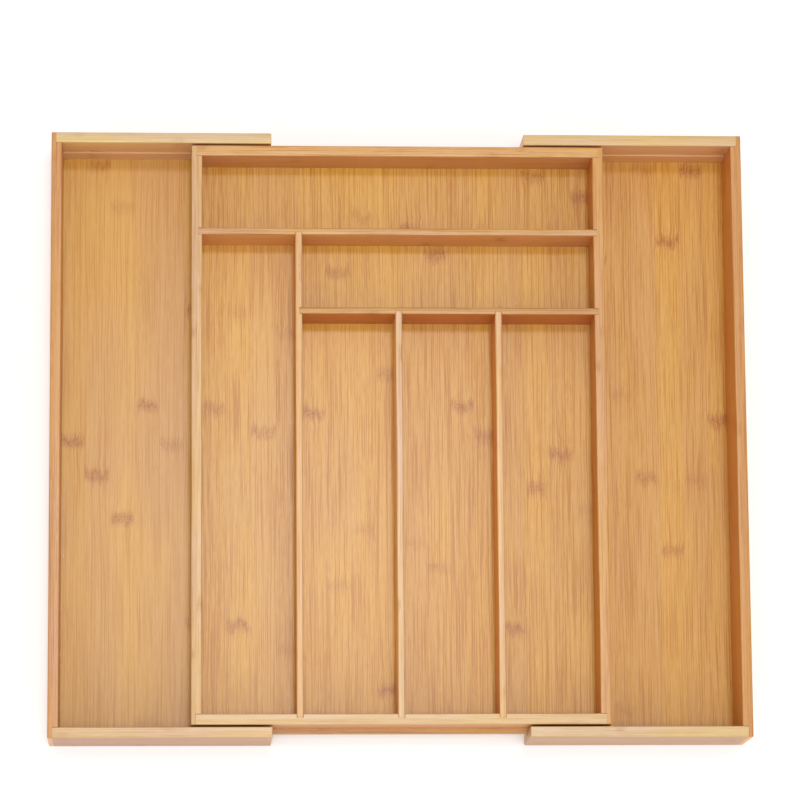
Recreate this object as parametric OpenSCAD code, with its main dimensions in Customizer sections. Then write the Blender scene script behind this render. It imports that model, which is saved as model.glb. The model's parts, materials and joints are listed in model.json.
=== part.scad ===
// Expanding bamboo drawer insert: a fixed centre tray with six compartments,
// and two three-sided trays that slide out from under it to the left and right.
// +X is right, +Y is the rear, +Z is up. The origin is on the drawer's floor,
// under the middle of the insert. The insert is drawn fully extended.

/* [Overall size] */
// Height of the insert, from the bottom edges to the rims
tray_h = 60; // [50:1:80]
// Depth over the side trays' front and rear rails
tray_depth = 456; // [360:1:560]
// Width of the fixed centre tray
centre_w = 310; // [260:1:400]
// How far a side tray stands out of the centre tray when pulled right out
extension = 105; // [60:1:120]
// Gap left between a side tray's outer wall and the centre tray when pushed in
closed_gap = 2.5; // [1:0.5:6]

/* [Boards] */
// Thickness of the walls and rails
wall_t = 8; // [7:0.5:12]
// Thickness of the dividers
divider_t = 5; // [4:0.5:8]
// Thickness of the base panels
base_t = 4; // [3:0.5:5]
// Depth of the grooves and housings cut into walls and rails
housing = 3; // [2:0.5:3]
// Depth of the housings cut into a divider
divider_housing = 2; // [1:0.5:2]
// Width of the lip of a wall that covers the ends of the rails
lip = 3.5; // [2:0.5:4]

/* [Heights] */
// Underside of a side tray's base panel above the drawer's floor
side_base_z = 3; // [1:0.5:4]
// Clearance between a side tray's base panel and the centre tray above it
lift = 1; // [0.5:0.5:2]
// Usable depth of the centre tray, from its base panel to the rims
centre_depth = 38; // [30:1:40]

/* [Compartments] */
// Clear depth of each of the two cross compartments at the rear
cross_depth = 55.5; // [40:0.5:90]
// Number of equal columns that the centre tray is divided into
columns = 4; // [4:1:5]

/* [Slides] */
// Clearance between the centre tray's rails and a side tray's rails
slide_gap = 1.5; // [1:0.25:2]
// Height of the tongue's lower edge above the drawer's floor
tongue_z = 27; // [24:1:34]
// Height of the tongue's cross-section
tongue_h = 6; // [4:0.5:8]
// How far the tongue stands out of the centre tray's rail
tongue_proud = 4; // [3:0.5:5]
// Depth of the groove that the tongue runs in
groove_depth = 3.5; // [2.5:0.25:4.5]
// Clearance above and below the tongue in its groove
groove_play = 0.3; // [0.1:0.1:0.6]

/* [Fixings] */
// Diameter of the brads that pin the corners
brad_d = 1.2; // [0.8:0.1:1.6]
// Length of a brad
brad_len = 20; // [12:1:25]
// How deep a brad's head is set below the wall's face
brad_set = 0.4; // [0:0.1:1]
// Heights of the three brads in each corner
brad_levels = [13, 42, 52]; // [10:1:56]

/* [Hidden] */
$fn = 32;
slack = 1;
bamboo_wall = [0.86, 0.68, 0.42];
bamboo_rail = [0.88, 0.73, 0.50];
bamboo_divider = [0.84, 0.66, 0.42];
bamboo_base = [0.80, 0.59, 0.32];
bamboo_tongue = [0.81, 0.64, 0.43];
steel = [0.62, 0.62, 0.60];

// Centre tray, as distances from the middle
centre_x_out = centre_w / 2;
centre_x_in = centre_x_out - wall_t;
centre_x_lip = centre_x_out - lip;
side_y_out = tray_depth / 2;
side_y_in = side_y_out - wall_t;
centre_y_out = side_y_in - slide_gap;
centre_y_in = centre_y_out - wall_t;
centre_z = side_base_z + base_t + lift;
floor_z = tray_h - centre_depth;

// Side trays, as distances from the middle
side_x_out = centre_x_out + extension;
side_x_in = side_x_out - wall_t;
side_x_lip = side_x_out - lip;
travel = side_x_in - centre_x_out - closed_gap;
rail_end_gap = 0.5;
side_x_end = travel + rail_end_gap;

// Lines on which the dividers stand
long_cross_y = centre_y_in - cross_depth - divider_t / 2;
short_cross_y = long_cross_y - cross_depth - divider_t;
column_w = (2 * centre_x_in - (columns - 1) * divider_t) / columns;
column_pitch = column_w + divider_t;
tall_x = -centre_x_in + column_w + divider_t / 2;
cutlery_x = [tall_x + column_pitch, tall_x + 2 * column_pitch];

// ---- Shapes that repeat ----

// A square-edged board between two opposite corners
module board(low, high) {
    translate(low) cube(high - low);
}

// Puts the right-hand or rear piece that it is given on the side asked for
module on_left() {
    mirror([1, 0, 0]) children();
}

module at_front() {
    mirror([0, 1, 0]) children();
}

// The pilot hole or the brad itself, driven along -X from a wall's outer face
module brad(face_x, y, z, depth_from, depth_to) {
    translate([face_x - depth_to, y, z])
        rotate([0, 90, 0])
            cylinder(d = brad_d, h = depth_to - depth_from);
}

// Brads of one corner, from the wall's outer face into the rail behind it
module corner_brads(face_x, y) {
    for (z = brad_levels)
        brad(face_x, y, z, brad_set, brad_set + brad_len);
}

// Their holes, open at the wall's face
module corner_holes(face_x, y) {
    for (z = brad_levels)
        brad(face_x, y, z, -slack, brad_set + brad_len);
}

// Housing that takes the end or the edge of a divider, from the base panel to the rim
module divider_slot(low, high) {
    board([low.x, low.y, floor_z], [high.x, high.y, tray_h + slack]);
}

// ---- Centre tray ----

centre_brad_y = (centre_y_in + centre_y_out) / 2;

// Right-hand wall before the divider housings that only one wall has
module centre_wall_blank() {
    difference() {
        union() {
            board([centre_x_in, -centre_y_in, centre_z], [centre_x_out, centre_y_in, tray_h]);
            board([centre_x_lip, -centre_y_out, centre_z], [centre_x_out, centre_y_out, tray_h]);
        }
        board([centre_x_in - slack, -centre_y_out, floor_z - base_t],
              [centre_x_in + housing, centre_y_out, floor_z]);
        divider_slot([centre_x_in - slack, long_cross_y - divider_t / 2],
                     [centre_x_in + housing, long_cross_y + divider_t / 2]);
        tongue_seats();
        for (y = [-centre_brad_y, centre_brad_y])
            corner_holes(centre_x_out, y);
    }
}

module centre_right_wall() {
    color(bamboo_wall)
        difference() {
            centre_wall_blank();
            divider_slot([centre_x_in - slack, short_cross_y - divider_t / 2],
                         [centre_x_in + housing, short_cross_y + divider_t / 2]);
        }
}

module centre_left_wall() {
    color(bamboo_wall) on_left() centre_wall_blank();
}

// Grooves across the outer faces of both rails and the walls' lips, for the tongues
module tongue_seats() {
    for (side = [-1, 1])
        board([-centre_x_out - slack, side * centre_y_out - housing, tongue_z],
              [centre_x_out + slack, side * centre_y_out + housing, tongue_z + tongue_h]);
}

// Rear rail; the front rail is its mirror image with the divider housings added
module centre_rail_blank() {
    difference() {
        board([-centre_x_lip, centre_y_in, centre_z], [centre_x_lip, centre_y_out, tray_h]);
        board([-centre_x_lip - slack, centre_y_in - slack, floor_z - base_t],
              [centre_x_lip + slack, centre_y_in + housing, floor_z]);
        tongue_seats();
        corner_holes(centre_x_out, centre_brad_y);
        on_left() corner_holes(centre_x_out, centre_brad_y);
    }
}

module centre_rear_rail() {
    color(bamboo_rail) centre_rail_blank();
}

module centre_front_rail() {
    color(bamboo_rail)
        difference() {
            at_front() centre_rail_blank();
            for (x = concat([tall_x], cutlery_x))
                divider_slot([x - divider_t / 2, -centre_y_in - housing],
                             [x + divider_t / 2, -centre_y_in + slack]);
        }
}

module centre_base() {
    color(bamboo_base)
        board([-centre_x_in - housing, -centre_y_in - housing, floor_z - base_t],
              [centre_x_in + housing, centre_y_in + housing, floor_z]);
}

// A divider that runs across the tray, along X
module cross_divider(x_from, x_to, y) {
    board([x_from, y - divider_t / 2, floor_z], [x_to, y + divider_t / 2, tray_h]);
}

// A divider that runs from front to rear, along Y
module lengthwise_divider(x, y_from, y_to) {
    board([x - divider_t / 2, y_from, floor_z], [x + divider_t / 2, y_to, tray_h]);
}

module long_cross_divider() {
    color(bamboo_divider)
        difference() {
            cross_divider(-centre_x_in - housing, centre_x_in + housing, long_cross_y);
            divider_slot([tall_x - divider_t / 2, long_cross_y - divider_t / 2 - slack],
                         [tall_x + divider_t / 2, long_cross_y - divider_t / 2 + divider_housing]);
        }
}

module short_cross_divider() {
    front_face = short_cross_y - divider_t / 2;
    color(bamboo_divider)
        difference() {
            cross_divider(tall_x + divider_t / 2 - divider_housing, centre_x_in + housing,
                          short_cross_y);
            for (x = cutlery_x)
                divider_slot([x - divider_t / 2, front_face - slack],
                             [x + divider_t / 2, front_face + divider_housing]);
        }
}

module tall_divider() {
    right_face = tall_x + divider_t / 2;
    color(bamboo_divider)
        difference() {
            lengthwise_divider(tall_x, -centre_y_in - housing,
                               long_cross_y - divider_t / 2 + divider_housing);
            divider_slot([right_face - divider_housing, short_cross_y - divider_t / 2],
                         [right_face + slack, short_cross_y + divider_t / 2]);
        }
}

module cutlery_divider(x) {
    color(bamboo_divider)
        lengthwise_divider(x, -centre_y_in - housing,
                           short_cross_y - divider_t / 2 + divider_housing);
}

module rear_tongue() {
    color(bamboo_tongue)
        board([-centre_x_out, centre_y_out - housing, tongue_z],
              [centre_x_out, centre_y_out + tongue_proud, tongue_z + tongue_h]);
}

module front_tongue() {
    at_front() rear_tongue();
}

module centre_brads() {
    color(steel)
        for (y = [-centre_brad_y, centre_brad_y]) {
            corner_brads(centre_x_out, y);
            on_left() corner_brads(centre_x_out, y);
        }
}

// ---- Side trays, drawn on the right ----

side_brad_y = (side_y_in + side_y_out) / 2;

module side_outer_wall() {
    color(bamboo_wall)
        difference() {
            union() {
                board([side_x_in, -side_y_in, 0], [side_x_out, side_y_in, tray_h]);
                board([side_x_lip, -side_y_out, 0], [side_x_out, side_y_out, tray_h]);
            }
            board([side_x_in - slack, -side_y_out, side_base_z],
                  [side_x_in + housing, side_y_out, side_base_z + base_t]);
            for (y = [-side_brad_y, side_brad_y])
                corner_holes(side_x_out, y);
        }
}

module side_rear_rail() {
    color(bamboo_rail)
        difference() {
            board([side_x_end, side_y_in, 0], [side_x_lip, side_y_out, tray_h]);
            board([side_x_end - slack, side_y_in - slack, side_base_z],
                  [side_x_lip + slack, side_y_in + housing, side_base_z + base_t]);
            board([side_x_end - slack, side_y_in - slack, tongue_z - groove_play],
                  [side_x_lip + slack, side_y_in + groove_depth,
                   tongue_z + tongue_h + groove_play]);
            corner_holes(side_x_out, side_brad_y);
        }
}

module side_base() {
    color(bamboo_base)
        board([side_x_end, -side_y_in - housing, side_base_z],
              [side_x_in + housing, side_y_in + housing, side_base_z + base_t]);
}

module side_brads() {
    color(steel)
        for (y = [-side_brad_y, side_brad_y])
            corner_brads(side_x_out, y);
}

module right_outer_wall() {
    side_outer_wall();
}

module right_rear_rail() {
    side_rear_rail();
}

module right_front_rail() {
    at_front() side_rear_rail();
}

module right_base() {
    side_base();
}

module right_brads() {
    side_brads();
}

module left_outer_wall() {
    on_left() side_outer_wall();
}

module left_rear_rail() {
    on_left() side_rear_rail();
}

module left_front_rail() {
    on_left() at_front() side_rear_rail();
}

module left_base() {
    on_left() side_base();
}

module left_brads() {
    on_left() side_brads();
}

centre_left_wall();
centre_right_wall();
centre_front_rail();
centre_rear_rail();
centre_base();
long_cross_divider();
short_cross_divider();
tall_divider();
cutlery_divider(cutlery_x[0]);  // left_cutlery_divider
cutlery_divider(cutlery_x[1]);  // right_cutlery_divider
front_tongue();
rear_tongue();
centre_brads();
left_outer_wall();
left_front_rail();
left_rear_rail();
left_base();
left_brads();
right_outer_wall();
right_front_rail();
right_rear_rail();
right_base();
right_brads();
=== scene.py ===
"""Looks of an expandable bamboo drawer insert: a fixed centre tray and two sliding side trays.

Every board is built from its CAD node, with its edges eased as sanding leaves them, and gets a
laminated bamboo finish whose strips, plies, fibres and knuckles follow that board's own grain.
"""
import json
import math

import bmesh
import bpy
from mathutils import Euler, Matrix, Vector
from mathutils.bvhtree import BVHTree


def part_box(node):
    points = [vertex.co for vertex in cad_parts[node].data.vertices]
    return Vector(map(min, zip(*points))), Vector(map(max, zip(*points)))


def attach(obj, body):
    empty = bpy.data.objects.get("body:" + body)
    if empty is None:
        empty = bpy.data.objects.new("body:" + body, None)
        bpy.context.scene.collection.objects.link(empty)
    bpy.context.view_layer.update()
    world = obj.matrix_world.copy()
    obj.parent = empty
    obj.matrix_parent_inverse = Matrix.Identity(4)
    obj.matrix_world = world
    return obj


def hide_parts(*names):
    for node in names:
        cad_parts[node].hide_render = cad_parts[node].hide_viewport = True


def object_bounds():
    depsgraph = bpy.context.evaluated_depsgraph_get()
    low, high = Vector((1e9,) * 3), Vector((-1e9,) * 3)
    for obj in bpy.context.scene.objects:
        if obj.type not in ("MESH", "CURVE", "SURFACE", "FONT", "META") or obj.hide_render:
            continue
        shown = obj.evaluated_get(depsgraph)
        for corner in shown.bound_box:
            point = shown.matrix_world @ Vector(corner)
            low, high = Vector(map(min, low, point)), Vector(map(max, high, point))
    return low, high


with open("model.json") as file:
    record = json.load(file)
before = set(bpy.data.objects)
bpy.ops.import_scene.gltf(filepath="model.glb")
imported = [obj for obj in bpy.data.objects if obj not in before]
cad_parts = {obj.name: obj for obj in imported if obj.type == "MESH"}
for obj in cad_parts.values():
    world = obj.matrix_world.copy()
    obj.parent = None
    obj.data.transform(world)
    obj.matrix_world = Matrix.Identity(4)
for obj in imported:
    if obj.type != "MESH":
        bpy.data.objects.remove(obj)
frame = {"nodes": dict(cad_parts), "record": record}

cad_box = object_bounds()
MM = 0.001


# ---- Node trees written as expressions ----

class Wire:
    """One output socket of a node tree. Arithmetic on it adds Math nodes."""

    def __init__(self, sheet, socket):
        self.sheet = sheet
        self.socket = socket

    def maths(self, operation, first, second):
        """The result of a Math node on two numbers or wires."""
        return self.sheet.node("ShaderNodeMath", {"operation": operation}, {0: first, 1: second})

    def __add__(self, other):
        return self.maths("ADD", self, other)

    def __radd__(self, other):
        return self.maths("ADD", other, self)

    def __sub__(self, other):
        return self.maths("SUBTRACT", self, other)

    def __rsub__(self, other):
        return self.maths("SUBTRACT", other, self)

    def __mul__(self, other):
        return self.maths("MULTIPLY", self, other)

    def __rmul__(self, other):
        return self.maths("MULTIPLY", other, self)

    def __truediv__(self, other):
        return self.maths("DIVIDE", self, other)

    def __mod__(self, other):
        return self.maths("FLOORED_MODULO", self, other)

    def __abs__(self):
        return self.maths("ABSOLUTE", self, 0.0)

    def floor(self):
        return self.maths("FLOOR", self, 0.0)


class Sheet:
    """A node tree being drawn up."""

    def __init__(self, tree):
        self.tree = tree

    def node(self, kind, settings, sockets, output=0):
        """Adds a node: its settings first, then the values or wires of its sockets."""
        made = self.tree.nodes.new(kind)
        for name, value in settings.items():
            if name == "stops":
                self.set_stops(made.color_ramp, value)
            else:
                setattr(made, name, value)
        for key, value in sockets.items():
            if isinstance(value, Wire):
                self.tree.links.new(value.socket, made.inputs[key])
            else:
                made.inputs[key].default_value = value
        return None if output is None else Wire(self, made.outputs[output])

    @staticmethod
    def set_stops(ramp, stops):
        """Gives a colour ramp its stops, each a place and a colour."""
        while len(ramp.elements) < len(stops):
            ramp.elements.new(0.5)
        for element, (place, colour) in zip(ramp.elements, stops):
            element.position = place
            element.color = colour

    def split(self, vector):
        """The three parts of a vector."""
        parts = self.node("ShaderNodeSeparateXYZ", {}, {0: vector})
        outputs = parts.socket.node.outputs
        return [Wire(self, outputs[i]) for i in range(3)]

    def join(self, x, y, z):
        """A vector from its three parts."""
        return self.node("ShaderNodeCombineXYZ", {}, {0: x, 1: y, 2: z})

    def noise(self, place, detail=2.0, roughness=0.5, distortion=0.0):
        """Noise from 0 to 1, with features about one unit across."""
        return self.node("ShaderNodeTexNoise", {"noise_dimensions": "3D"},
                         {"Vector": place, "Scale": 1.0, "Detail": detail,
                          "Roughness": roughness, "Distortion": distortion})

    def draws(self, number):
        """Three random numbers that depend only on the number given."""
        colour = self.node("ShaderNodeTexWhiteNoise", {"noise_dimensions": "1D"}, {"W": number}, 1)
        return self.split(colour)

    def step(self, value, start, end, low=0.0, high=1.0):
        """A smooth step of value from low, at start, to high, at end."""
        return self.node("ShaderNodeMapRange", {"interpolation_type": "SMOOTHSTEP"},
                         {"Value": value, "From Min": start, "From Max": end,
                          "To Min": low, "To Max": high})

    def mix(self, share, first, second, blend="MIX"):
        """Colour mixed from first, at share 0, to second, at share 1."""
        return self.node("ShaderNodeMix", {"data_type": "RGBA", "blend_type": blend},
                         {0: share, 6: first, 7: second}, 2)


def blank_material(name):
    """A new material with an empty node tree, and the sheet to draw it on."""
    material = bpy.data.materials.new(name)
    material.use_nodes = True
    material.node_tree.nodes.clear()
    return material, Sheet(material.node_tree)


def rgb(red, green, blue):
    """A colour given in everyday 0-255 values, as the linear colour that shaders use."""
    def linear(level):
        level /= 255
        return level / 12.92 if level <= 0.04045 else ((level + 0.055) / 1.055) ** 2.4
    return (linear(red), linear(green), linear(blue), 1.0)


# ---- Bamboo ----

STRIP_WIDTH = 18.7 * MM
STRIP_OFFSET = 0.37           # how much further the first strip is cut down on the next board
KNUCKLE_SPACING = 0.24
KNUCKLE_HALF_HEIGHT = 8 * MM
KNUCKLE_WAVER = 14 * MM
KNUCKLE_TAIL = 26 * MM
KNUCKLE_DARKNESS = 0.85
FIBRE_BEND = 6 * MM
FIBRE_DRIFT = 2 * MM
GLUE_LINE = 0.22 * MM
STRIP_GLUE = 0.20             # how strongly the glue between strips shows
PLY_GLUE = 0.22               # and the glue between plies
RELIEF_DEPTH = 0.06 * MM
RELIEF_STRENGTH = 0.5
WOOD_ROUGHNESS = 0.46
WOOD_SHEEN = 0.15
LACQUER = 0.25
LACQUER_ROUGHNESS = 0.20
RIM_TOP = 0.3 * MM            # how far below a board's top edge its rim colour, a painted highlight, is full
RIM_FOOT = 1.0 * MM           # and where that rim ends

# Steps without a common measure, so that every piece of a culm gets a number of its own
STRIP_STEP = 3.17
PLY_STEP = 7.31
BOARD_STEP = 11.9
INTERNODE_STEP = 5.77
HUE_STEP = 3.1
HUE_START = 7.3
CULM_SPREAD = 9.0             # how far apart in one pattern two culms may be cut

# How many features of each pattern a metre holds, across the grain and along it
FIBRES = (1600.0, 16.0)
STROKES = (1300.0, 100.0)
STREAKS = (210.0, 8.0)
SCRIBBLE = (560.0, 300.0)
WAVER = (170.0, 30.0)
BEND = (130.0, 60.0)
DRIFT = (30.0, 14.0)
CLOUDS = (30.0, 13.0)
HUES = (26.0, 8.0)

# How far each pattern moves the wood's tone, which runs from 0, deepest, to 1, palest
MIDDLE_TONE = 0.57
STRIP_TONE = 0.22
FIBRE_TONE = -1.5
STROKE_TONE = 1.5
DASH_TONE = -0.5
STREAK_TONE = 0.4
CLOUD_TONE = 0.35

DEEP = (0.80, 0.62, 0.28)     # shares of the board's own colour in its darkest fibres
PALE = (1.12, 1.19, 1.75)     # and in its palest
GOLD = (1.05, 1.02, 0.80)     # and in its most golden strips
ROSY = (0.98, 0.94, 1.06)     # and in its rosiest
KNUCKLE_BROWN = rgb(158, 86, 28)
GLUE_BROWN = rgb(150, 84, 36)

# Which axes run along the grain, across the strips and through the plies
FLOOR_GRAIN = (1, 0, 2)
WALL_GRAIN = (1, 2, 0)
RAIL_GRAIN = (0, 2, 1)


def shaded(colour, shares):
    """A colour with each of its channels scaled."""
    return tuple(min(level * share, 1.0) for level, share in zip(colour, shares)) + (1.0,)


def tones(sheet, level, colour):
    """The board's colour from its darkest fibres, at level 0, to its palest, at level 1."""
    stops = [(0.0, shaded(colour, DEEP)), (0.5, colour), (1.0, shaded(colour, PALE))]
    return sheet.node("ShaderNodeValToRGB", {"stops": stops}, {0: level})


def glue_line(sheet, share, width, strength):
    """Strength where a strip or ply of that width is glued to the next, at share 0 or 1 of it."""
    return sheet.step(abs(share - 0.5) * -width + width / 2, 0.0, GLUE_LINE, strength, 0.0)


def bamboo(name, axes, box, seed, ply, face, rim, contrast, knuckles):
    """Laminated bamboo under satin lacquer, with the colours of its faces and of its top edge, the top
    edge's colour being a painted highlight.

    axes picks the grain, and the strips are laid from the lowest corner of the board's box.
    """
    start, end = box
    material, sheet = blank_material(name)
    place = sheet.split(sheet.node("ShaderNodeTexCoord", {}, {}, 3))
    along, across, through = (place[axis] - start[axis] for axis in axes)

    # Strips side by side and plies one behind the other, each cut from another culm
    strips = across / STRIP_WIDTH + STRIP_OFFSET * seed
    plies = through / ply
    culm = strips.floor() * STRIP_STEP + plies.floor() * PLY_STEP + seed * BOARD_STEP
    shade, phase, hue = sheet.draws(culm)
    shift = phase * CULM_SPREAD

    def broad(size, detail=2.0):
        """A pattern on the face of each strip, from -0.5 to 0.5."""
        pattern = sheet.join(across * size[0], along * size[1], culm)
        return sheet.noise(pattern, detail) - 0.5

    # Knuckles: the culm's nodes, once every internode along each strip, some of them faint
    internodes = along / KNUCKLE_SPACING + phase
    to_knuckle = (internodes % 1.0 - 0.5) * KNUCKLE_SPACING
    strength = sheet.draws(culm + internodes.floor() * INTERNODE_STEP)[0]
    strength = sheet.step(strength, 0.10, 0.75, 0.30, 1.0) * knuckles
    waver = broad(WAVER)
    ring = sheet.step(abs(to_knuckle + waver * KNUCKLE_WAVER), 0.0, KNUCKLE_HALF_HEIGHT, 1.0, 0.0)
    off_middle = abs(strips % 1.0 - 0.5)
    ring = ring * sheet.step(off_middle + waver * 0.7, 0.32, 0.52, 1.0, 0.35)
    tail = sheet.step(abs(to_knuckle), 0.0, KNUCKLE_TAIL, 1.0, 0.0)

    # Fibres wander along the grain and bend round a knuckle
    bend = broad(BEND) * tail * FIBRE_BEND
    grain = across + bend * strength + broad(DRIFT) * FIBRE_DRIFT
    depth = through + shift

    def fine(size, from_start, *texture):
        """A pattern of fibres that run right through a strip, from 0 to 1."""
        pattern = sheet.join(grain * size[0], along * size[1] + from_start, depth * size[0])
        return sheet.noise(pattern, *texture)

    fibres = fine(FIBRES, shift, 0.0)
    strokes = fine(STROKES, shift, 1.0)
    streaks = fine(STREAKS, shift, 2.0)
    scribble = fine(SCRIBBLE, 0.0, 4.0, 0.9, 1.0)

    # Dark vessels show as fine dashes on the paler ground between them
    dashes = sheet.step(fibres, 0.54, 0.68) * sheet.step(strokes, 0.36, 0.58, 0.3, 1.0)
    tone = ((shade - 0.5) * STRIP_TONE + (fibres - 0.5) * FIBRE_TONE
            + (strokes - 0.5) * STROKE_TONE + dashes * DASH_TONE
            + (streaks - 0.5) * STREAK_TONE + broad(CLOUDS, 1.0) * CLOUD_TONE)
    level = MIDDLE_TONE + tone * contrast
    # Painted highlight: the top edge takes the rim colour, set to how the tops look lit from above
    painted_top_light = sheet.step(place[2], end[2] - RIM_FOOT, end[2] - RIM_TOP)
    colour = sheet.mix(painted_top_light, tones(sheet, level, face), tones(sheet, level, rim))

    # Some strips are more golden and some rosier, in patches that run across the glue lines
    patches = sheet.join(across * HUES[0] + HUE_START, along * HUES[1], seed * HUE_STEP)
    warmth = hue * 0.7 + (sheet.noise(patches, 1.0) - 0.5) * 1.6
    tint = sheet.mix(sheet.step(warmth, -0.05, 0.75), GOLD + (1.0,), ROSY + (1.0,))
    colour = sheet.mix(1.0, colour, tint, "MULTIPLY")

    marks = ring * sheet.step(scribble, 0.44, 0.58, 0.30, 1.0) + tail * tail * dashes * 0.3
    marks = marks * strength * KNUCKLE_DARKNESS
    colour = sheet.mix(marks, colour, KNUCKLE_BROWN)
    glue = (glue_line(sheet, strips % 1.0, STRIP_WIDTH, STRIP_GLUE)
            + glue_line(sheet, plies % 1.0, ply, PLY_GLUE))
    colour = sheet.mix(glue, colour, GLUE_BROWN)

    relief = scribble * ring * 0.6 - dashes * 0.7 - glue
    bump = sheet.node("ShaderNodeBump", {}, {
        "Strength": RELIEF_STRENGTH, "Distance": RELIEF_DEPTH, "Height": relief})
    surface = sheet.node("ShaderNodeBsdfPrincipled", {}, {
        "Base Color": colour,
        "Roughness": WOOD_ROUGHNESS - (streaks - 0.5) * 0.22 + marks * 0.12,
        "Specular IOR Level": WOOD_SHEEN,
        "Coat Weight": LACQUER,
        "Coat Roughness": LACQUER_ROUGHNESS,
        "Normal": bump,
    })
    sheet.node("ShaderNodeOutputMaterial", {}, {"Surface": surface}, None)
    return material


SCRATCHES = (90.0, 9000.0)    # how many a metre holds, along the wire and across it


def brad_steel():
    """Drawn steel wire, dulled along its length."""
    material, sheet = blank_material("brad_steel_wire")
    along, across, through = sheet.split(sheet.node("ShaderNodeTexCoord", {}, {}, 3))
    scratches = sheet.noise(sheet.join(along * SCRATCHES[0], across * SCRATCHES[1],
                                       through * SCRATCHES[1]), 2.0)
    surface = sheet.node("ShaderNodeBsdfPrincipled", {}, {
        "Base Color": sheet.mix(scratches, rgb(168, 166, 160), rgb(206, 204, 198)),
        "Metallic": 1.0,
        "Roughness": 0.22 + scratches * 0.28,
    })
    sheet.node("ShaderNodeOutputMaterial", {}, {"Surface": surface}, None)
    return material


# ---- Boards ----

WELD = 0.001 * MM
ON_PLANE = 10 * WELD
EASED = 0.8 * MM           # width that sanding takes off on a board's free corners
SLIGHT_SHARE = 0.3         # share of that width on grooves and notches
JOINT_SHARE = 0.18         # and where another board meets the corner
SHARP = math.radians(30)
CREASE = math.radians(36)  # just over the turn between two facets of an eased corner
EASED_FACETS = 3
LARGE_FACE_WEIGHT = 100    # how much a large face outweighs a facet in the shading
SHORTEST_EASED = 1.5 * MM  # the rims of the brad holes are made of shorter edges
PROBE_IN = 0.6 * MM
PROBE_OUT = 0.25 * MM
PROBE_DIRECTION = Vector((0.31, 0.52, 0.79)).normalized()


def whole_board(node):
    """The node's mesh with its triangles merged back into whole faces."""
    board = bmesh.new()
    board.from_mesh(frame["nodes"][node].data)
    bmesh.ops.remove_doubles(board, verts=board.verts, dist=WELD)
    bmesh.ops.dissolve_limit(board, angle_limit=math.radians(1), verts=board.verts,
                             edges=board.edges)
    board.normal_update()
    return board


def is_inside(tree, point):
    """Whether the point is inside the closed mesh, by counting the faces on a ray from it."""
    hits = 0
    while True:
        place, _, _, _ = tree.ray_cast(point, PROBE_DIRECTION)
        if place is None:
            return hits % 2 == 1
        hits += 1
        point = place + PROBE_DIRECTION * WELD


def is_covered(edge, neighbours):
    """Whether another board lies against either face beside the edge."""
    middle = (edge.verts[0].co + edge.verts[1].co) / 2
    for face in edge.link_faces:
        inward = face.calc_center_median() - middle
        line = (edge.verts[1].co - edge.verts[0].co).normalized()
        inward = (inward - line * inward.dot(line)).normalized()
        probe = middle + inward * PROBE_IN + face.normal * PROBE_OUT
        if any(is_inside(tree, probe) for tree in neighbours):
            return True
    return False


def bounding_planes(edge, low, high):
    """How many sides of the board's bounding box the edge lies on."""
    return sum(all(abs(vert.co[axis] - side[axis]) < ON_PLANE for vert in edge.verts)
               for axis in range(3) for side in (low, high))


def eased_board(node, solids):
    """A finished board: the node's shape with its corners eased."""
    board = whole_board(node)
    low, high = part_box(node)
    neighbours = [tree for name, tree in solids.items() if name != node]
    weights = board.edges.layers.float.new("bevel_weight_edge")
    for edge in board.edges:
        if edge.calc_face_angle() < SHARP or not edge.is_convex \
                or edge.calc_length() < SHORTEST_EASED:
            continue
        if is_covered(edge, neighbours):
            edge[weights] = JOINT_SHARE
        elif bounding_planes(edge, low, high) >= 2:
            edge[weights] = 1.0
        else:
            edge[weights] = SLIGHT_SHARE
    mesh = bpy.data.meshes.new(node + "_board")
    board.to_mesh(mesh)
    board.free()
    piece = bpy.data.objects.new(node + "_board", mesh)
    bpy.context.scene.collection.objects.link(piece)
    easing = piece.modifiers.new("Easing", "BEVEL")
    easing.limit_method = "WEIGHT"
    easing.width = EASED
    easing.segments = EASED_FACETS
    easing.use_clamp_overlap = False
    apply_modifiers(piece)
    crease(piece.data)
    shading = piece.modifiers.new("Shading", "WEIGHTED_NORMAL")
    shading.keep_sharp = True
    shading.weight = LARGE_FACE_WEIGHT
    apply_modifiers(piece)
    return piece


def crease(mesh):
    """Shades a board smooth, but for its sharp edges."""
    board = bmesh.new()
    board.from_mesh(mesh)
    for face in board.faces:
        face.smooth = True
    for edge in board.edges:
        edge.smooth = edge.calc_face_angle() < CREASE
    board.to_mesh(mesh)
    board.free()


def apply_modifiers(piece):
    """Turns what the piece's modifiers make into its plain mesh."""
    bpy.context.view_layer.update()
    evaluated = piece.evaluated_get(bpy.context.evaluated_depsgraph_get())
    mesh = bpy.data.meshes.new_from_object(evaluated)
    mesh.name = piece.name
    piece.modifiers.clear()
    piece.data = mesh
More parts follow.
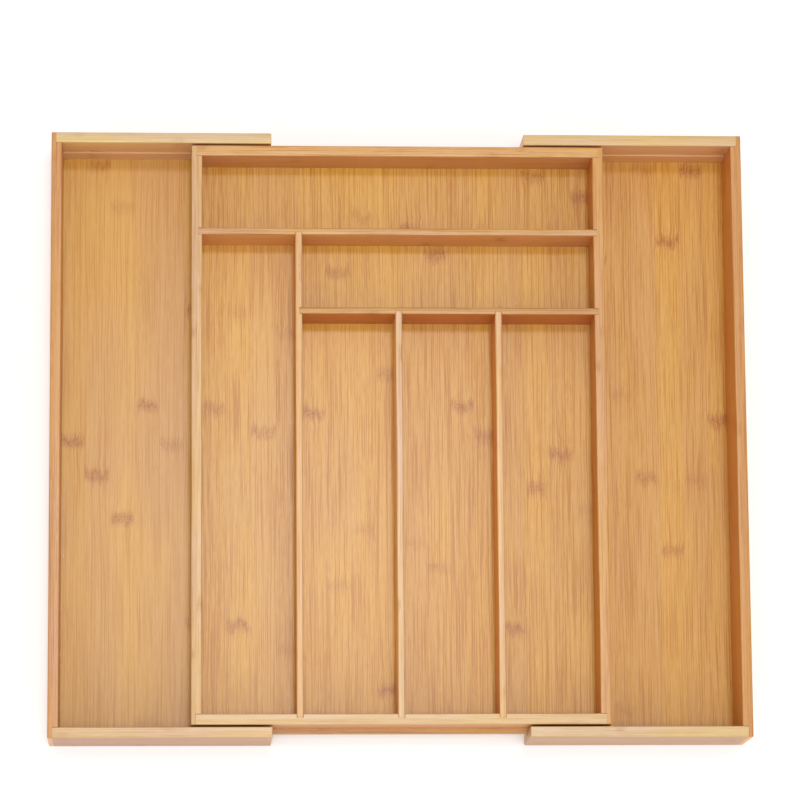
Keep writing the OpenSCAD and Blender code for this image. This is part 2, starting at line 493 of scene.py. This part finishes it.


# Each board's grain, the thickness of its plies, the colours of its faces and of its top edge (a painted
# highlight), how strongly its fibres show, and how strongly its knuckles do
RAIL_PLY = 4 * MM
DIVIDER_PLY = 2.5 * MM
BASE_PLY = 4 * MM
BOARDS = {
    "centre_left_wall": (WALL_GRAIN, RAIL_PLY, rgb(214, 156, 92), rgb(195, 155, 105), 0.5, 0.5),
    "centre_right_wall": (WALL_GRAIN, RAIL_PLY, rgb(218, 142, 64), rgb(197, 146, 84), 0.55, 0.5),
    "centre_front_rail": (RAIL_GRAIN, RAIL_PLY, rgb(212, 150, 84), rgb(206, 172, 111), 0.4, 0.4),
    "centre_rear_rail": (RAIL_GRAIN, RAIL_PLY, rgb(218, 156, 88), rgb(201, 153, 84), 0.6, 0.5),
    "centre_base": (FLOOR_GRAIN, BASE_PLY, rgb(213, 166, 69), rgb(213, 166, 69), 0.88, 1.0),
    "long_cross_divider": (RAIL_GRAIN, DIVIDER_PLY, rgb(230, 164, 96), rgb(194, 147, 90), 0.6, 0.7),
    "short_cross_divider": (RAIL_GRAIN, DIVIDER_PLY, rgb(197, 113, 44), rgb(183, 134, 78), 0.6, 0.7),
    "tall_divider": (WALL_GRAIN, DIVIDER_PLY, rgb(222, 152, 84), rgb(205, 161, 112), 0.45, 0.5),
    "left_cutlery_divider": (WALL_GRAIN, DIVIDER_PLY, rgb(244, 188, 130), rgb(206, 170, 120), 0.45, 0.5),
    "right_cutlery_divider": (WALL_GRAIN, DIVIDER_PLY, rgb(228, 152, 90), rgb(206, 164, 114), 0.45, 0.5),
    "front_tongue": (RAIL_GRAIN, RAIL_PLY, rgb(190, 143, 84), rgb(190, 143, 84), 0.5, 0.5),
    "rear_tongue": (RAIL_GRAIN, RAIL_PLY, rgb(190, 143, 84), rgb(190, 143, 84), 0.5, 0.5),
    "left_outer_wall": (WALL_GRAIN, RAIL_PLY, rgb(214, 156, 92), rgb(190, 136, 80), 0.5, 0.5),
    "left_front_rail": (RAIL_GRAIN, RAIL_PLY, rgb(184, 134, 84), rgb(200, 164, 118), 0.35, 0.4),
    "left_rear_rail": (RAIL_GRAIN, RAIL_PLY, rgb(238, 196, 136), rgb(204, 175, 123), 0.35, 0.4),
    "left_base": (FLOOR_GRAIN, BASE_PLY, rgb(213, 167, 82), rgb(213, 167, 82), 0.5, 1.0),
    "right_outer_wall": (WALL_GRAIN, RAIL_PLY, rgb(226, 150, 68), rgb(192, 137, 70), 0.5, 0.5),
    "right_front_rail": (RAIL_GRAIN, RAIL_PLY, rgb(186, 138, 90), rgb(204, 173, 121), 0.35, 0.4),
    "right_rear_rail": (RAIL_GRAIN, RAIL_PLY, rgb(236, 190, 134), rgb(204, 172, 117), 0.35, 0.4),
    "right_base": (FLOOR_GRAIN, BASE_PLY, rgb(212, 163, 72), rgb(212, 163, 72), 0.72, 1.0),
}


def subpart_of(node):
    """The node's body and its material slot, as the record gives them."""
    bodies = frame["record"]["behaviour"]["bodies"]
    body = next(name for name, nodes in bodies.items() if node in nodes)
    slot = next(part["material_slot"] for part in frame["record"]["subparts"]
                if part["node"] == node)
    return body, slot


def finish_piece(piece, node, material):
    """Gives a piece its finish, and puts it in its CAD node's place on that node's body."""
    body, slot = subpart_of(node)
    piece.data.materials.clear()
    piece.data.materials.append(material)
    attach(piece, body)
    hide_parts(node)


def make_boards():
    """All the boards, each eased where no other board lies against it."""
    solids = {}
    for node in BOARDS:
        board = whole_board(node)
        solids[node] = BVHTree.FromBMesh(board)
        board.free()
    for seed, (node, (grain, *finish)) in enumerate(BOARDS.items()):
        piece = eased_board(node, solids)
        finish_piece(piece, node, bamboo(node + "_bamboo", grain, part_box(node), seed + 1, *finish))


# ---- Brads ----

BRAD_RADIUS_SHARE = 0.97   # of its hole's, so the wire doesn't touch the drilled wood
BRAD_POINT = 1.8 * MM
BRAD_TIP_SHARE = 0.12
BRAD_SIDES = 16
BRAD_RINGS = 12


def brad_tree():
    """Geometry nodes that set a pointed wire on each point, its head end there, along "driven"."""
    tree = bpy.data.node_groups.new("Brads", "GeometryNodeTree")
    interface = tree.interface
    interface.new_socket("Geometry", in_out="INPUT", socket_type="NodeSocketGeometry")
    for name in ("Wire radius", "Wire length", "Point length"):
        interface.new_socket(name, in_out="INPUT", socket_type="NodeSocketFloat")
    interface.new_socket("Steel", in_out="INPUT", socket_type="NodeSocketMaterial")
    interface.new_socket("Geometry", in_out="OUTPUT", socket_type="NodeSocketGeometry")
    sheet = Sheet(tree)
    given = sheet.node("NodeGroupInput", {}, {}).socket.node.outputs
    points, radius, length, point, steel = (Wire(sheet, socket) for socket in given[:5])

    wire = sheet.node("GeometryNodeMeshCylinder", {}, {
        "Vertices": BRAD_SIDES, "Side Segments": BRAD_RINGS, "Radius": 1.0, "Depth": 1.0})
    x, y, z = sheet.split(sheet.node("GeometryNodeInputPosition", {}, {}))
    depth = (0.5 - z) * length
    width = sheet.node("ShaderNodeMapRange", {}, {
        "Value": length - depth, "From Min": 0.0, "From Max": point,
        "To Min": BRAD_TIP_SHARE, "To Max": 1.0}) * radius
    wire = sheet.node("GeometryNodeSetPosition", {}, {
        "Geometry": wire, "Position": sheet.join(x * width, y * width, depth)})
    driven = sheet.node("GeometryNodeInputNamedAttribute", {"data_type": "FLOAT_VECTOR"},
                        {"Name": "driven"})
    turn = sheet.node("FunctionNodeAlignRotationToVector", {"axis": "Z"}, {"Vector": driven})
    brads = sheet.node("GeometryNodeInstanceOnPoints", {}, {
        "Points": points, "Instance": wire, "Rotation": turn})
    brads = sheet.node("GeometryNodeRealizeInstances", {}, {"Geometry": brads})
    brads = sheet.node("GeometryNodeSetMaterial", {}, {"Geometry": brads, "Material": steel})
    sheet.node("NodeGroupOutput", {}, {"Geometry": brads}, None)
    return tree


def islands(node):
    """The lowest and highest corner of each loose solid in a node."""
    solids = bmesh.new()
    solids.from_mesh(frame["nodes"][node].data)
    bmesh.ops.remove_doubles(solids, verts=solids.verts, dist=WELD)
    left = set(solids.verts)
    boxes = []
    while left:
        reached = [left.pop()]
        places = []
        while reached:
            vert = reached.pop()
            places.append(vert.co.copy())
            for edge in vert.link_edges:
                other = edge.other_vert(vert)
                if other in left:
                    left.remove(other)
                    reached.append(other)
        boxes.append((Vector(map(min, zip(*places))), Vector(map(max, zip(*places)))))
    solids.free()
    return sorted(boxes, key=lambda box: tuple(box[0]))


def make_brads(node, tree, steel):
    """All the brads of one tray, each driven from the wall's outer face towards the middle."""
    heads = []
    driven = []
    for low, high in islands(node):
        middle = (low + high) / 2
        on_right = middle.x > 0
        heads.append(Vector((high.x if on_right else low.x, middle.y, middle.z)))
        driven.append((-1 if on_right else 1, 0, 0))
    mesh = bpy.data.meshes.new(node + "_wires")
    mesh.from_pydata(heads, [], [])
    attribute = mesh.attributes.new("driven", "FLOAT_VECTOR", "POINT")
    for place, direction in zip(attribute.data, driven):
        place.vector = direction
    piece = bpy.data.objects.new(node + "_wires", mesh)
    bpy.context.scene.collection.objects.link(piece)
    drive = piece.modifiers.new("Brads", "NODES")
    drive.node_group = tree
    values = {"Wire radius": (high.y - low.y) / 2 * BRAD_RADIUS_SHARE,
              "Wire length": high.x - low.x, "Point length": BRAD_POINT, "Steel": steel}
    for item in tree.interface.items_tree:
        if item.name in values:
            drive[item.identifier] = values[item.name]
    apply_modifiers(piece)
    finish_piece(piece, node, steel)


# ---- Studio ----

VIEW_TILT = 10.5        # degrees off straight down, towards the front
VIEW_LEAN = -3.1        # and towards the left
VIEW_TURN = -0.43
VIEW_DISTANCE = 3.2
VIEW_AIM = Vector((0.0004, 0.0240, 0.0))    # from the middle of the rims
VIEW_LENS = 193.2

SKY_FOOT = -0.1         # height on the sky's unit sphere, up to which the horizon's light reaches
HORIZON_LIGHT = 0.61
ZENITH_LIGHT = 0.90
FRONT_LIGHT = 0.40      # how much brighter the front of the room is than its middle
LAMPS = {               # where each lamp shines from, its spread in degrees and its power
    "Softbox": (Vector((0.03, -0.10, 1.0)), 15.0, 0.87),
    "Gloss_lamp": (Vector((0.037, 0.155, 1.0)), 5.0, 0.33),
}
FLOOR_DROP = 0.2 * MM
FLOOR_SIZE = 30.0
FLOOR_WHITE = 0.78
FLOOR_GLOW = 0.24
FLOOR_ROUGHNESS = 0.9


def middle_of_rims():
    """The middle of the plane that the rims lie in, which the camera is aimed from."""
    low, high = cad_box
    return Vector(((low[0] + high[0]) / 2, (low[1] + high[1]) / 2, high[2]))


def set_camera():
    """A long lens above the insert, tilted a little towards its front and left."""
    camera = bpy.data.cameras.new("Camera")
    camera.lens = VIEW_LENS
    camera.clip_start = 0.1
    camera.clip_end = 100.0
    stand = bpy.data.objects.new("Camera", camera)
    turn = Euler([math.radians(angle) for angle in (VIEW_TILT, VIEW_LEAN, VIEW_TURN)])
    stand.rotation_euler = turn
    back = turn.to_matrix() @ Vector((0, 0, 1))
    stand.location = middle_of_rims() + VIEW_AIM + back * VIEW_DISTANCE
    bpy.context.scene.collection.objects.link(stand)
    bpy.context.scene.camera = stand


def set_lights():
    """A pale room, brighter at its front, with a softbox overhead and a lamp for the gloss."""
    world = bpy.data.worlds.new("Studio")
    world.use_nodes = True
    world.node_tree.nodes.clear()
    sheet = Sheet(world.node_tree)
    _, rearwards, height = sheet.split(sheet.node("ShaderNodeTexCoord", {}, {}))
    strength = sheet.step(height, SKY_FOOT, 1.0, HORIZON_LIGHT, ZENITH_LIGHT)
    glow = sheet.node("ShaderNodeBackground", {}, {
        "Color": (1.0, 1.0, 1.0, 1.0), "Strength": strength * (1.0 - rearwards * FRONT_LIGHT)})
    sheet.node("ShaderNodeOutputWorld", {}, {"Surface": glow}, None)
    bpy.context.scene.world = world
    for name, (shines_from, spread, power) in LAMPS.items():
        light = bpy.data.lights.new(name, "SUN")
        light.angle = math.radians(spread)
        light.energy = power
        lamp = bpy.data.objects.new(name, light)
        lamp.rotation_euler = shines_from.to_track_quat("Z", "Y").to_euler()
        bpy.context.scene.collection.objects.link(lamp)
    bpy.context.scene.view_settings.view_transform = "Standard"


def set_floor():
    """White paper, just below the insert and as wide as the view needs."""
    half = FLOOR_SIZE / 2
    corners = [(x * half, y * half, cad_box[0][2] - FLOOR_DROP)
               for x, y in ((-1, -1), (1, -1), (1, 1), (-1, 1))]
    mesh = bpy.data.meshes.new("Studio_floor")
    mesh.from_pydata(corners, [], [(0, 1, 2, 3)])
    floor = bpy.data.objects.new("Studio_floor", mesh)
    bpy.context.scene.collection.objects.link(floor)
    material, sheet = blank_material("White_paper")
    surface = sheet.node("ShaderNodeBsdfPrincipled", {}, {
        "Base Color": (FLOOR_WHITE, FLOOR_WHITE, FLOOR_WHITE, 1.0), "Roughness": FLOOR_ROUGHNESS,
        "Emission Color": (1.0, 1.0, 1.0, 1.0), "Emission Strength": FLOOR_GLOW})
    sheet.node("ShaderNodeOutputMaterial", {}, {"Surface": surface}, None)
    mesh.materials.append(material)


set_camera()
set_lights()
set_floor()
make_boards()
brads = brad_tree()
wire_steel = brad_steel()
for brad_node in ("centre_brads", "left_brads", "right_brads"):
    make_brads(brad_node, brads, wire_steel)
